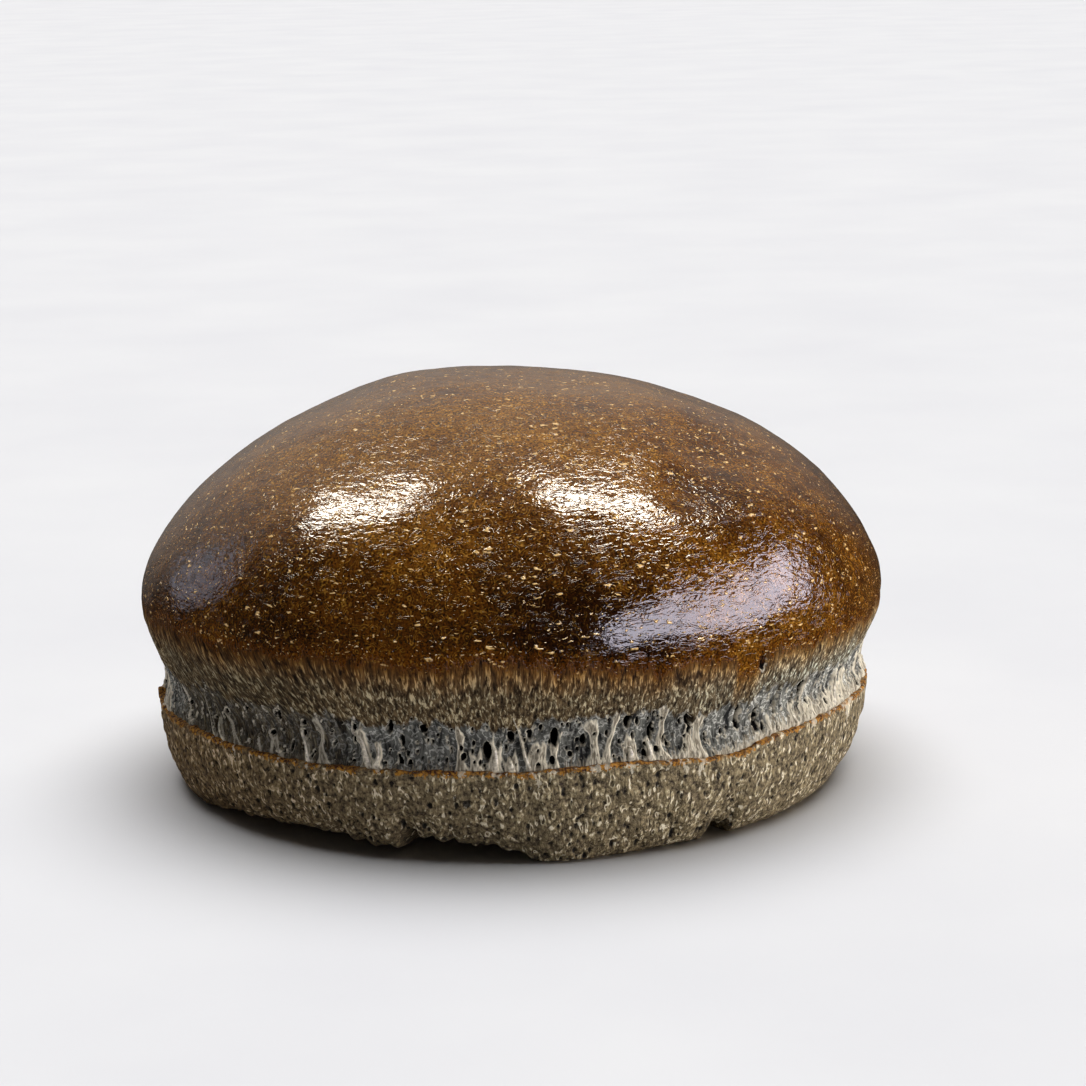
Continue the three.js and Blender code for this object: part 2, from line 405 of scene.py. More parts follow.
# Size, then azimuth and width in degrees
LEAN = (-0.5, -142, 24)
# The tear is closed between two azimuths, with an edge of some degrees, and never quite
CLOSED = (-155, -118)
CLOSED_EDGE = 14
LEAST_OPEN = 0.15


def lean(angle):
    """Sideways run of the fibres for each mm of height: they lean over where the dough sagged."""
    return LEAN[0] * near_azimuth(angle, *LEAN[1:])


def torn_open(angle):
    """1 where the tear stands wide open, and little on the left, where the fibres lie closed."""
    from_left = smooth((np.degrees(angle) - CLOSED[1]) / CLOSED_EDGE + 0.5)
    from_back = smooth((CLOSED[0] - np.degrees(angle)) / CLOSED_EDGE + 0.5)
    return np.maximum(np.maximum(from_left, from_back), LEAST_OPEN)


print("open in front and at the left:", np.round(torn_open(np.radians([-90, -140])), 2))


# %% Place and thickness of each strand
def strand_place(i, v):
    """Azimuth of strand i at a height above the rim, its half width there, and its full height."""
    cell = i % STRANDS
    start = (cell + 0.5 + 0.4 * draw(cell, 5, 1)) * 2 * math.pi / STRANDS - math.pi
    wave = 0.5 * noise(v / 1.8, cell * 7.3, 4.5) + 0.22 * draw(cell, 5, 2) * v
    tall = mix(*STRAND_HEIGHT, (0.5 + 0.5 * draw(cell, 5, 3)) ** 1.6)
    width = between(STRAND_HALF_WIDTH, cell, 5, 4) * mix(0.4, 1, torn_open(start))
    foot = between(STRAND_FOOT, cell, 5, 7)
    fan = 1 + foot * np.exp(-np.maximum(v, 0) / 0.9) + 1.2 * smooth((v - tall + 2.5) / 2.5)
    return start + (wave + lean(start) * v) / NECK_RADIUS, width * fan, tall


def strand_used(i):
    """Strands come in clusters, with bare skin between."""
    cell = i % STRANDS
    return draw(cell, 5, 6) < 2 * STRAND_SHARE - 1 + 0.9 * noise(cell / 5, 3.5, 8.5)


def strand_gap(angle, v):
    """Distance in mm from the edge of the nearest strand, less than 0 inside it."""
    a = (angle / (2 * math.pi) + 0.5) * STRANDS
    nearest = np.full(np.broadcast(angle, v).shape, 2.0)
    for across in (-2, -1, 0, 1, 2):
        i = np.floor(a) + across
        azimuth, width, tall = strand_place(i, v)
        away = np.abs((angle - azimuth + math.pi) % (2 * math.pi) - math.pi) * NECK_RADIUS
        tip = tall + 1.5 * noise(angle * NECK_RADIUS / 0.45, i % STRANDS, 2.5)
        gap = np.maximum(away - width, 0.4 * (v - tip))
        nearest = np.where(strand_used(i), np.minimum(nearest, gap), nearest)
    return nearest


print("strands at the front, mm to the nearest:", np.round(strand_gap(np.radians([-95, -90, -85]), 1.0), 2))

# %% [markdown]
# ## The torn band and the dome
#
# The band and the dome are one surface, with points under 0.3 mm apart in the band and about 1 mm on the
# dome. Relief down to about half a millimetre is real geometry. Each point also keeps its distance in mm
# from the nearest pore, strand and fringe. A distance stays straight between points, so the shader can cut
# a crisp, ragged edge from it that is finer than the mesh, and a pale lip is always exactly where a pore's
# edge is.

# %% Pores of the band
# Cells in a row, a cell's height, half width, tallness, share of the cells in use, seed
SMALL_PORES = (190, 2.1, (0.14, 0.34), (1, 2.6), 0.34, 20)
TINY_PORES = (380, 1.2, (0.08, 0.18), (1, 2.2), 0.3, 40)
BIG_PORES = 64
# Middle of their places and its spread, as shares of the band's height
BIG_PORE_SHARE = (0.3, 0.14)
BIG_PORE_HALF_WIDTH = (0.34, 0.8)
BIG_PORE_TALLNESS = (1.3, 3)
BIG_PORE_DEPTH = 1.7
SMALL_PORE_DEPTH = 0.7
PORE_WALL = 0.24
# Azimuth in degrees, height, half width in mm, tallness
LONE_PORE = (-51.8, 24.5, 0.5, 1.2)


def big_pore_gap(angle, share):
    """Distance in mm from the nearest large pore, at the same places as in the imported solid."""
    nearest = np.full(np.broadcast(angle, share).shape, 2.0)
    for i in range(BIG_PORES):
        azimuth = 360 * (i + 0.4 * draw(i, 1, 0)[0]) / BIG_PORES
        centre = BIG_PORE_SHARE[0] + BIG_PORE_SHARE[1] * draw(i, 2, 0)[0]
        width = between(BIG_PORE_HALF_WIDTH, i, 3, 0)[0]
        tall = width * between(BIG_PORE_TALLNESS, i, 4, 0)[0]
        width = 0.8 * width
        x = np.radians((np.degrees(angle) - azimuth + 540) % 360 - 180) * NECK_RADIUS / width
        y = (share - centre) * BAND_HEIGHT / tall
        nearest = np.minimum(nearest, (np.sqrt(x * x + y * y) - 1) * width)
    return nearest


def pore_gap(angle, z, v, share, closing):
    """Distance in mm from the nearest pore of any size, shrunk by the closing, and its depth."""
    big = big_pore_gap(angle, share) + 1.2 * (1 - torn_open(angle))
    small = oval_gap(angle, v, *SMALL_PORES)
    tiny = oval_gap(angle, v, *TINY_PORES)
    larger = np.minimum(big, small)
    gap = np.minimum(larger, tiny) + np.where(tiny <= larger, 0.25 * closing, closing)
    x = (np.degrees(angle) - LONE_PORE[0]) * math.radians(NECK_RADIUS) / LONE_PORE[2]
    rise = z - LONE_PORE[1]
    lone = (np.hypot(x + 0.3 * rise, rise / LONE_PORE[3]) - 1) * LONE_PORE[2]
    gap = np.where(v < 0.15, 2.0, np.minimum(gap, lone))
    return gap, np.where(big <= np.minimum(small, tiny), BIG_PORE_DEPTH, SMALL_PORE_DEPTH)


print("large pores:", BIG_PORES, "up to", round(1.6 * BIG_PORE_HALF_WIDTH[1], 1), "mm wide")

# %% Edges of the glaze and of the fringe
# Azimuths in degrees and heights in mm
GLAZE_EDGE = [
    (-180, -141, -121, -90, -63, -33, 20, 90, 180),
    (26.3, 27, 27.6, 27.2, 25.6, 24.6, 25.5, 27, 26.3),
]
# Azimuth and half width in degrees, length in mm
TONGUE = (-54.5, 2.2, 2.4)
# Height in mm, azimuth and width in degrees
FRINGE = (2.3, -32, 27)


def glaze_gap(angle, z, v):
    """Height in mm above the edge of the glaze, which runs down in tongues and tears along the fibres."""
    turn = turn_between(np.degrees(angle), TONGUE[0]) / TONGUE[1]
    plain = np.interp(np.degrees(angle), *GLAZE_EDGE) - TONGUE[2] * np.exp(-(turn**4))
    u = angle * NECK_RADIUS - lean(angle) * v
    tears = noise(u / 4.5, 3.5, 0.5) + 0.9 * noise(u / 1.6, z / 7, 5.5) + 0.8 * noise(u / 0.7, z / 5, 7.5)
    return z - plain - tears


def fringe_height(angle):
    """The pale fringe on the rim stands taller on the right."""
    wave = 0.45 + 0.5 * noise(angle * NECK_RADIUS / 2.2, 6.5, 0.5)
    return wave + FRINGE[0] * near_azimuth(angle, *FRINGE[1:])


print("fringe at the left and at the right, mm:", np.round(fringe_height(np.radians([-150, -32])), 1))


# %% Places that patterns read
# Fibres lean up to this height in mm above the rim
COMBED_HEIGHT = 14
# Length in mm for each radian of the way down
DOME_ARC = 45


def combed_points(points, angle, v):
    """Points turned back by the lean of the fibres, so that a plain vertical grain follows them."""
    turn = -lean(angle) * np.clip(v, 0, COMBED_HEIGHT) / NECK_RADIUS
    x = points[..., 0] * np.cos(turn) - points[..., 1] * np.sin(turn)
    y = points[..., 0] * np.sin(turn) + points[..., 1] * np.cos(turn)
    return np.stack([x, y, points[..., 2]], -1)


def way_down(points):
    """Distance in mm from the crown, down over the dome."""
    reach = np.hypot(points[..., 0], points[..., 1]) / EQUATOR_RADIUS
    return DOME_ARC * np.arctan2(reach, (points[..., 2] - EQUATOR_HEIGHT) / (HEIGHT - EQUATOR_HEIGHT))


print("way down to the equator, mm:", round(float(way_down(equator[0])), 1))

# %% Relief and kinds of surface in the band
SLATE_TOP = 7.2


def band_detail(points, angle, share):
    """Relief in mm and kinds of surface for points of the band or the dome."""
    z = points[..., 2]
    v = z - rim_height(angle) - RIM_THICKNESS
    u = angle * NECK_RADIUS
    combed = u - lean(angle) * v
    slate_edge = SLATE_TOP + 1.6 * noise(u / 6, 2.5, 0.5) + 1.8 * noise(combed / 0.9, 9.5, 0.5)
    slate = smooth((slate_edge - v) / 2.2)
    film = glaze_gap(angle, z, v)
    glaze = smooth(film / 4 + 0.5)
    closing = 1.5 * smooth((v - slate_edge + 1.5) / 2) + 2 * glaze
    pores, depth = pore_gap(angle, z, v, share, closing)
    strands = strand_gap(angle, v)
    fringe = v - fringe_height(angle)
    fibres = 0.17 * noise(combed / 0.55, v / 3.2, 1.5) + 0.15 * noise(combed / 1.1, v / 6, 2.5)
    skins = 0.2 * noise(combed / 1.7, v / 3, 3.5) + 0.07 * noise(u / 0.5, v / 0.8, 4.5)
    skin_wave = 0.1 * noise_at(points, 5.5) + 0.05 * noise_at(points, 2.2)
    relief = (1 - glaze) * ((1 - slate) * fibres + slate * (skins - 0.3)) + glaze * skin_wave
    relief = relief + 0.45 * smooth(0.5 - strands / 0.5) * slate + 0.16 * lip(pores) * slate
    relief = relief + 0.2 * smooth(-fringe / 0.8) * slate
    relief = (relief - inside(pores, PORE_WALL) * depth) * smooth((v + 0.4) / 0.6)
    return relief, {
        "slate": slate,
        "glaze_gap": np.clip(film, -8, 8),
        "pore_gap": np.clip(pores, -1, 2),
        "strand_gap": np.clip(strands, -1, 2),
        "fringe_gap": np.clip(fringe, -4, 6),
        "combed": combed_points(points, angle, v),
        "down": way_down(points),
        # The tear's openness, raised at the right front, where it also paints the band lighter as light
        "open_and_lit": torn_open(angle) + 0.8 * near_azimuth(angle, *FRINGE[1:]),
    }


print("slate skins reach up to about, mm above the rim:", SLATE_TOP)

# %% [markdown]
# ## Rings into one closed mesh
#
# Rings of equal count join as a strip of triangles, and a ring may join one of half or twice its count. So
# the points stay about as far apart at the top as at the side, and the mesh is closed with no pole of thin
# slivers. Each ring also carries its share of the way up, or HIDDEN inside the roll, where nothing gets
# relief.

# %% Join rings and make the mesh
HIDDEN = -9.0


def stitch(low, low_count, high, high_count):
    """Triangles between two rings, each given by its first point and count."""
    steps = np.arange(min(low_count, high_count))
    after = (steps + 1) % len(steps)
    if low_count == high_count:
        a, b, c, d = low + steps, low + after, high + after, high + steps
        return np.vstack([np.c_[a, b, c], np.c_[a, c, d]])
    if low_count > high_count:
        a, b, c = low + 2 * steps, low + 2 * steps + 1, low + (2 * steps + 2) % low_count
        d, e = high + steps, high + after
        return np.vstack([np.c_[a, b, d], np.c_[b, e, d], np.c_[b, c, e]])
    a, b, c = high + 2 * steps, high + 2 * steps + 1, high + (2 * steps + 2) % high_count
    d, e = low + steps, low + after
    return np.vstack([np.c_[d, b, a], np.c_[d, e, b], np.c_[e, c, b]])


def close_rings(rings, bottom, top):
    """One closed surface from rings of points, with a middle point at each end."""
    points = np.vstack([bottom[None], *rings, top[None]])
    counts = [len(ring) for ring in rings]
    starts = np.cumsum([1, *counts[:-1]])
    first = starts[0] + np.arange(counts[0])
    faces = [np.c_[np.zeros_like(first), np.roll(first, -1), first]]
    for i in range(len(rings) - 1):
        faces.append(stitch(starts[i], counts[i], starts[i + 1], counts[i + 1]))
    last = starts[-1] + np.arange(counts[-1])
    faces.append(np.c_[last, np.roll(last, -1), np.full_like(last, len(points) - 1)])
    return points, np.vstack(faces)


def gather(rings, bottom, top, top_share):
    """Joins rings of points, azimuths and a share, and gives every point's azimuth and share too."""
    points, faces = close_rings([ring for ring, _, _ in rings], np.array(bottom), np.array(top))
    angle = np.concatenate([[0], *[angle for _, angle, _ in rings], [0]])
    shares = [np.full(len(angle), share) for _, angle, share in rings]
    return points, faces, angle, np.concatenate([[HIDDEN], *shares, [top_share]])


def make_piece(name, points, faces, kinds, material):
    """A mesh object in metres on the roll's body, with its kinds of surface as point values."""
    mesh = bpy.data.meshes.new(name)
    placed = np.clip((points + BOX_SHIFT) * MM, low_corner, high_corner)
    mesh.from_pydata(placed.tolist(), [], faces.tolist())
    for kind, values in kinds.items():
        form, field = ("FLOAT", "value") if values.ndim == 1 else ("FLOAT_VECTOR", "vector")
        kept = mesh.attributes.new(kind, form, "POINT")
        kept.data.foreach_set(field, np.ravel(values).astype(np.float32))
    mesh.shade_smooth()
    mesh.materials.append(material)
    piece = new_object(name, mesh)
    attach(piece, "root")
    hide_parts("roll")
    print(name, "has", len(points), "points and", len(faces), "triangles")
    return piece


print("rings of 8 and 4 points join by", len(stitch(0, 8, 8, 4)), "triangles")

# %% [markdown]
# ## Colours and nodes
#
# Colours are written as they look on a screen, as hex values, and one function turns them to the linear
# values that Blender's nodes use. Another adds any node, and each material gets it bound to its own tree. A
# node's inputs go by place or by name, each a value or another node's output. So Map Range reads as the
# value, then from least to most, then to least and most.
# Patterns read the object's own coordinates in millimetres, so a scale of one over 0.5 is a grain of half a
# millimetre.


# %% Colour and node helpers
def paint(hex_colour):
    """sRGB hex to the linear colour of a node."""
    parts = [int(hex_colour[i : i + 2], 16) / 255 for i in (1, 3, 5)]
    linear = [p / 12.92 if p <= 0.04045 else ((p + 0.055) / 1.055) ** 2.4 for p in parts]
    return (*linear, 1)


def plug(node, sockets):
    """Fills sockets: an output is linked, and a hex colour or any other value is set on the socket."""
    for name, value in sockets.items():
        if isinstance(value, bpy.types.NodeSocket):
            node.id_data.links.new(value, node.inputs[name])
        else:
            node.inputs[name].default_value = paint(value) if isinstance(value, str) else value


def add_node(tree, kind, *inputs, out=0, **named):
    """Adds one node, with its operation after a space, and gives one output. Names have _ for a space."""
    kind, *operation = kind.split()
    made = tree.nodes.new("ShaderNode" + kind)
    if operation:
        made.operation = operation[0]
    sockets = dict(enumerate(inputs))
    for name, value in named.items():
        socket = name.replace("_", " ")
        if socket in made.inputs:
            sockets[socket] = value
        else:
            setattr(made, name, value)
    plug(made, sockets)
    return made.outputs[out]


def start_material(name):
    """An empty material: a function that adds nodes to it, its surface node, and places in millimetres."""
    material = bpy.data.materials.new(name)
    material.use_nodes = True
    add = partial(add_node, material.node_tree)
    place = add("TexCoord", out="Object")
    place = add("VectorMath SCALE", place, Scale=1 / MM)
    return material, add, material.node_tree.nodes["Principled BSDF"], place


print("middle grey in linear light:", round(paint("#808080")[0], 3))

# %% [markdown]
# ## Patterns of baked dough
#
# Many fine marks on this roll are curly lines: wrinkles in the glaze, swirls in the skins, curls in the
# crumb. Contour lines of soft noise give that, as the lines on a map curl round hills: the sine of the
# noise, times a number, goes up and down once a line. Flecks are the other pattern: one to a cell of a
# Voronoi texture, in space that noise has bent, so that no two are alike. The fibres of the band are plain
# noise, stretched along them.

# %% Curly lines, flecks, ragged edges
BEND_LENGTH = 1.1
BEND = 1.8
FLECK_CORE = 0.55


def curly_lines(add, place, length, lines, detail=1):
    """From -1 to 1 across each line. Length is the size of a curl in mm, lines how many it has."""
    soft = add("TexNoise", place, Scale=1 / length, Detail=detail)
    phase = add("Math MULTIPLY", soft, lines * 2 * math.pi)
    return add("Math SINE", phase)


def flecks(add, place, cell, size, share):
    """1 on bent, uneven spots, 0 between. Cell and size are in mm, share is the part of cells in use."""
    bend = add("TexNoise", place, Scale=1 / BEND_LENGTH, Detail=1, out="Color")
    bend = add("VectorMath SCALE", bend, Scale=BEND)
    bent = add("VectorMath ADD", place, bend)
    distance = add("TexVoronoi", bent, Scale=1 / cell)
    pick = add("SeparateColor", distance.node.outputs["Color"])
    reach = add("MapRange", pick, 1 - share, 1, 0, size / cell)
    core = add("Math MULTIPLY", reach, FLECK_CORE)
    return add("MapRange", distance, reach, core)


def near_edge(add, name, wobble, *span):
    """1 on one side of a kept distance and 0 on the other, with an edge made ragged by noise."""
    kept = add("Attribute", attribute_name=name, out="Fac")
    gap = add("Math ADD", kept, wobble)
    return add("MapRange", gap, *span)


def where_both(add, one, one_span, other, other_span):
    """High only where two patterns are, each mapped by its own span."""
    one = add("MapRange", one, *one_span)
    other = add("MapRange", other, *other_span)
    return add("Math MULTIPLY", one, other)


print("space for flecks is bent by up to, mm:", BEND)

# %% [markdown]
# ## The egg-washed crust
#
# Real crust: dark malted dough, brushed with egg wash before baking. The wash bakes to a clear glossy film,
# so the colour is deep and the gloss is sharp, and it wrinkles as it dries, which breaks each highlight
# into fine worms of light. Bran gives tan flecks, some of them raised, and these glint. Dried egg has an
# IOR of about 1.5.

# %% Colours of the glazed crust
CRUST_DARK = "#220e02"
CRUST_DEEP = "#542f07"
CRUST_AMBER = "#7f5315"
CRUST_TAN = "#b18030"
CRUST_GOLD = "#5e3304"
FLECK = "#e6bd7c"


def crust_colour(add, place, bran, bubbles, wobble):
    """Dark to amber crust in soft patches, lighter on top and darker low in front as painted light and shade,
    with fine tan curls, a sandy grain and bran flecks.
    """
    patches = add("TexNoise", place, Scale=1 / 4, Detail=6, Roughness=0.6)
    tone_and_shade = add("Math MULTIPLY_ADD", patches, 1, -0.5)
    # The kept tone carries painted light on the top and painted shade low in front and on the left
    kept = add("Attribute", attribute_name="tone_and_shade", out="Fac")
    tone_and_shade = add("Math ADD", tone_and_shade, kept)
    low = add("MapRange", tone_and_shade, 0, 0.5)
    crust = add("MixRGB", low, CRUST_DARK, CRUST_DEEP)
    high = add("MapRange", tone_and_shade, 0.4, 1)
    crust = add("MixRGB", high, crust, CRUST_AMBER)
    thin = near_edge(add, "glaze_gap", wobble, 2.4, 0.2, 0, 0.75)
    crust = add("MixRGB", thin, crust, CRUST_GOLD)
    broken = add("TexNoise", place, Scale=1 / 0.9, Detail=2)
    curls = where_both(add, curly_lines(add, place, 1.8, 10), (0.2, 0.95), broken, (0.42, 0.6))
    bright = add("MapRange", tone_and_shade, 0, 0.8, 0.14, 0.75)
    curls = add("Math MULTIPLY", curls, bright)
    crust = add("MixRGB", curls, crust, CRUST_TAN)
    sand = add("TexNoise", place, Scale=1 / 0.28, Detail=1)
    sand = add("MapRange", sand, 0.3, 0.7, 0.22, 1.68)
    crust = add("VectorMath MULTIPLY", crust, sand)
    crust = add("MixRGB", bran, crust, FLECK)
    return add("MixRGB", bubbles, crust, CRUST_DARK)


print("amber crust in linear light:", np.round(paint(CRUST_AMBER)[:3], 3))

# %% Relief of the glazed crust
# Flecks: cell and size in mm, share of the cells in use
BRAN = (1.5, 0.5, 0.6)
GRIT = (0.8, 0.26, 0.55)
BUBBLES = (2.3, 0.34, 0.5)
# Heights in mm
SOFT_WAVES = 0.085
WRINKLES = 0.026
BRAN_HEIGHT = 0.09
BUBBLE_DEPTH = 0.1
# Part of the way down that patterns are squashed by
SQUAT = 0.8


def crust_relief(add, squat, bran, bubbles):
    """Height of the film in mm: soft waves, fine wrinkles in patches, raised bran and burst bubbles."""
    waves = add("TexNoise", squat, Scale=1 / 1.5, Detail=2, Distortion=0.8)
    broken = add("TexNoise", squat, Scale=1 / 1.8, Detail=2)
    lines = curly_lines(add, squat, 3.4, 12)
    wrinkles = where_both(add, lines, (-1, -0.35), broken, (0.42, 0.62, 0, WRINKLES))
    height = add("Math MULTIPLY_ADD", waves, SOFT_WAVES, wrinkles)
    height = add("Math MULTIPLY_ADD", bran, BRAN_HEIGHT, height)
    return add("Math MULTIPLY_ADD", bubbles, -BUBBLE_DEPTH, height)


def squat_place(add, place):
    """Places squashed by the kept way down the dome, so that every pattern there lies flat along it."""
    down = add("CombineXYZ", Z=add("Attribute", attribute_name="down", out="Fac"))
    return add("VectorMath MULTIPLY_ADD", down, (1, 1, -SQUAT), place)


print("film relief, mm:", SOFT_WAVES, "of waves and", WRINKLES, "of wrinkles")

# %% [markdown]
# ## The torn band
#
# Where the film ends, the torn dough is matt and dry: combed brown-grey fibres with pale edges, then thin
# skins that look slate-grey, because they are see-through over dark hollows. Pores are painted black inside
# as shade, with a thin pale lip, and gluten is cream. Fibres and skins are painted darker where the tear is
# closed on the left and lighter at the right front, as shade and light. The grain follows the fibres, because
# it reads the points that were turned back by the fibres' lean.

# %% Colours of the fibres and the slate skins
FIBRE_DARK = "#271d12"
FIBRE_MIDDLE = "#746044"
FIBRE_LIGHT = "#d4c39c"
BROWNED = "#ffcc80"
# Red, green and blue as shares of the browned fibres, where the tear stands open and they dried pale
DRIED = (1.08, 1.36, 1.85)
SLATE_DARK = "#181818"
SLATE_MIDDLE = "#64645f"
SLATE_LIGHT = "#c9c7c0"
# The kept openness of the tear, raised at the right front where the band is painted lighter, goes from 0 to
# this
OPEN_MOST = 1.8


def fibre_colour(add, fibres, streaks, wobble, tear_and_light):
    """Brown-grey fibres with dark gaps and pale, broken edges, browned next to the glaze, painted darker on
    the closed left and lighter at the right front as shade and light.
    """
    soft = add("TexNoise", fibres, Scale=1 / 0.5, Detail=4, Roughness=0.6)
    shade = add("MapRange", soft, 0.34, 0.62)
    fibre = add("MixRGB", shade, FIBRE_DARK, FIBRE_MIDDLE)
    gaps = add("MapRange", streaks, -1, -0.3, 0.4)
    fibre = add("VectorMath MULTIPLY", fibre, gaps)
    edges = where_both(add, streaks, (0.25, 0.95, 0, 0.8), soft, (0.38, 0.54))
    fibre = add("MixRGB", edges, fibre, FIBRE_LIGHT)
    browned_and_shaded = near_edge(add, "glaze_gap", wobble, -4, -0.2)
    fibre = add("MixRGB", browned_and_shaded, fibre, BROWNED, blend_type="MULTIPLY")
    bare = add("MapRange", tear_and_light, 0.95, 1.7)
    dried = add("VectorMath MULTIPLY", fibre, DRIED)
    fibre = add("MixRGB", bare, fibre, dried)
    # Painted shade and light: darker where the tear is closed on the left, lighter at the right front
    painted_side_light = add("MapRange", tear_and_light, 0, OPEN_MOST, 0.66, 1.3)
    return add("VectorMath MULTIPLY", fibre, painted_side_light)


def slate_colour(add, place, fibres, tear_and_light):
    """Thin grey skins: dark, with paler swirls like oil on water, painted darker on the closed left and
    lighter at the right front as shade and light.
    """
    soft = add("TexNoise", fibres, Scale=1, Detail=5, Distortion=0.6)
    shade = add("MapRange", soft, 0.36, 0.62)
    slate = add("MixRGB", shade, SLATE_DARK, SLATE_MIDDLE)
    swirls = add("MapRange", curly_lines(add, place, 1.1, 4.2, 2), 0.3, 1, 0, 0.6)
    swirls = add("Math MULTIPLY", swirls, shade)
    slate = add("MixRGB", swirls, slate, SLATE_LIGHT)
    # Painted shade and light: darker where the tear is closed on the left, lighter at the right front
    painted_side_light = add("MapRange", tear_and_light, 0, OPEN_MOST, 0.42, 2.1)
    return add("VectorMath MULTIPLY", slate, painted_side_light)


print("dried fibres in linear light:", np.round(np.array(paint(FIBRE_MIDDLE)[:3]) * DRIED, 3))

# %% Colours of gluten, fringe and pores
GLUTEN_SHADE = "#857b6a"
GLUTEN = "#efe5d0"
# Pores and pits are painted nearly black inside, as shade in their hollows
PAINTED_PORE_SHADE = "#050403"
# As for the flecks of the crust
DROPS = (1.3, 0.34, 0.4)
# How much gluten a drop holds
DROPS_SHARE = 0.45


def gluten_colour(add, streaks, wobble, small):
    """Cream gluten, shaded by the streaks, with a paler line inside each strand's edge."""
    shade = add("MapRange", streaks, -0.8, 0.7)
    low = near_edge(add, "fringe_gap", wobble, 5, 0, 0.3)
    shade = add("Math MULTIPLY", shade, low)
    shade = add("Math MULTIPLY", shade, 0.8)
    inner = near_edge(add, "strand_gap", small, -0.26, -0.12)
    outer = near_edge(add, "strand_gap", small, 0.24, 0.12)
    outline = add("Math MULTIPLY", inner, outer)
    shade = add("Math MAXIMUM", shade, outline)
    return add("MixRGB", shade, GLUTEN_SHADE, GLUTEN)


def gluten_share(add, fibres, streaks, wobble, tear_and_light):
    """Where the gluten lies: on the strands, on the toothed fringe of the rim and in a few drops."""
    strand = near_edge(add, "strand_gap", wobble, 0.1, -0.06, 0, 0.9)
    teeth = add("Math MULTIPLY_ADD", streaks, 0.9, 0.5)
    teeth = add("Math MULTIPLY_ADD", wobble, 4, teeth)
    fringe = near_edge(add, "fringe_gap", teeth, 0.2, -0.5, 0, 0.85)
    drops = add("Math MULTIPLY", flecks(add, fibres, *DROPS), tear_and_light)
    drops = add("Math MULTIPLY", drops, DROPS_SHARE)
    pale = add("Math MAXIMUM", strand, fringe)
    return add("Math MAXIMUM", pale, drops)


def band_colour(add, place, fibres, streaks, wobble):
    """Fibres above, slate skins below, pale gluten and fringe, thin lips and pores painted black inside as
    shade.
    """
    tear_and_light = add("Attribute", attribute_name="open_and_lit", out="Fac")
    small = add("Math MULTIPLY", wobble, 0.5)
    fibre = fibre_colour(add, fibres, streaks, wobble, tear_and_light)
    slate = slate_colour(add, place, fibres, tear_and_light)
    ragged = add("Math MULTIPLY_ADD", streaks, 0.2, wobble)
    share = near_edge(add, "slate", ragged, 0.3, 0.7)
    closed = add("MapRange", tear_and_light, 0, 1, 0.5)
    share = add("Math MULTIPLY", share, closed)
    colour = add("MixRGB", share, fibre, slate)
    pale = gluten_share(add, fibres, streaks, wobble, tear_and_light)
    pale = add("Math MULTIPLY", pale, share)
    colour = add("MixRGB", pale, colour, gluten_colour(add, streaks, wobble, small))
    lips = near_edge(add, "pore_gap", small, 0.19, 0.09, 0, 0.75)
    broken = add("TexNoise", place, Scale=1 / 0.7, Detail=1)
    broken = add("MapRange", broken, 0.42, 0.56)
    lips = add("Math MULTIPLY", lips, broken)
    colour = add("MixRGB", lips, colour, GLUTEN)
    # Painted shade: the inside of each pore is nearly black
    pore_shade = near_edge(add, "pore_gap", small, 0.08, -0.02)
    return add("MixRGB", pore_shade, colour, PAINTED_PORE_SHADE)


print("a pore is darker than gluten by a factor of", round(paint(GLUTEN)[0] / paint(PAINTED_PORE_SHADE)[0]))

# %% [markdown]
# ## One material for crust and band
#
# The film doesn't stop at a line: it thins out in tongues along the fibres. So one material holds both
# looks, and mixes them by the kept distance from the glaze's edge, pushed up and down by the fibres' own
# streaks.

# %% Put the crust and the band together
EGG_FILM_IOR = 1.5
FILM_ROUGHNESS, FILM_LEVEL = 0.085, 0.5
TORN_ROUGHNESS, TORN_LEVEL = 0.9, 0.08
WOBBLE = 0.28


def egg_washed_crust():
    material, add, surface, place = start_material("egg_washed_crust")
    kept = add("Attribute", attribute_name="combed", out="Vector")
    fibres = add("VectorMath MULTIPLY", kept, (1, 1, 0.3))
    squat = squat_place(add, place)
    drawn = add("VectorMath MULTIPLY", kept, (1, 1, 0.12))
    drawn = add("TexNoise", drawn, Scale=1 / 0.32, Detail=2, Distortion=0.7)
    streaks = add("MapRange", drawn, 0.36, 0.64, -1)
    fine = add("TexNoise", fibres, Scale=1 / 0.5, Detail=2)
    wobble = add("MapRange", fine, 0, 1, -WOBBLE, WOBBLE)
    bran, grit = (flecks(add, squat, *spots) for spots in (BRAN, GRIT))
    bran = add("Math MAXIMUM", bran, grit)
    bubbles = flecks(add, place, *BUBBLES)
    ragged = add("Math MULTIPLY", streaks, 0.7)
    ragged = add("Math MULTIPLY_ADD", wobble, 3, ragged)
    glaze = near_edge(add, "glaze_gap", ragged, -0.5, 0.5)
    crust = crust_colour(add, place, bran, bubbles, ragged)
    band = band_colour(add, place, fibres, streaks, wobble)
    colour = add("MixRGB", glaze, band, crust)
    film = crust_relief(add, squat, bran, bubbles)
    torn = add("Math MULTIPLY", streaks, 0.04)
    torn = add("Math MULTIPLY_ADD", fine, 0.25, torn)
    height = add("Mix", Factor=glaze, A=torn, B=film)
    bump = add("Bump", Strength=1, Distance=MM, Height=height)
    rough = add("MapRange", glaze, 0.7, 1, TORN_ROUGHNESS, FILM_ROUGHNESS)
    level = add("MapRange", glaze, 0.7, 1, TORN_LEVEL, FILM_LEVEL)
    plug(surface, {"Base Color": colour, "Roughness": rough, "Specular IOR Level": level, "Normal": bump})
    plug(surface, {"IOR": EGG_FILM_IOR})
    return material


print("film and torn dough, roughness:", FILM_ROUGHNESS, "and", TORN_ROUGHNESS)

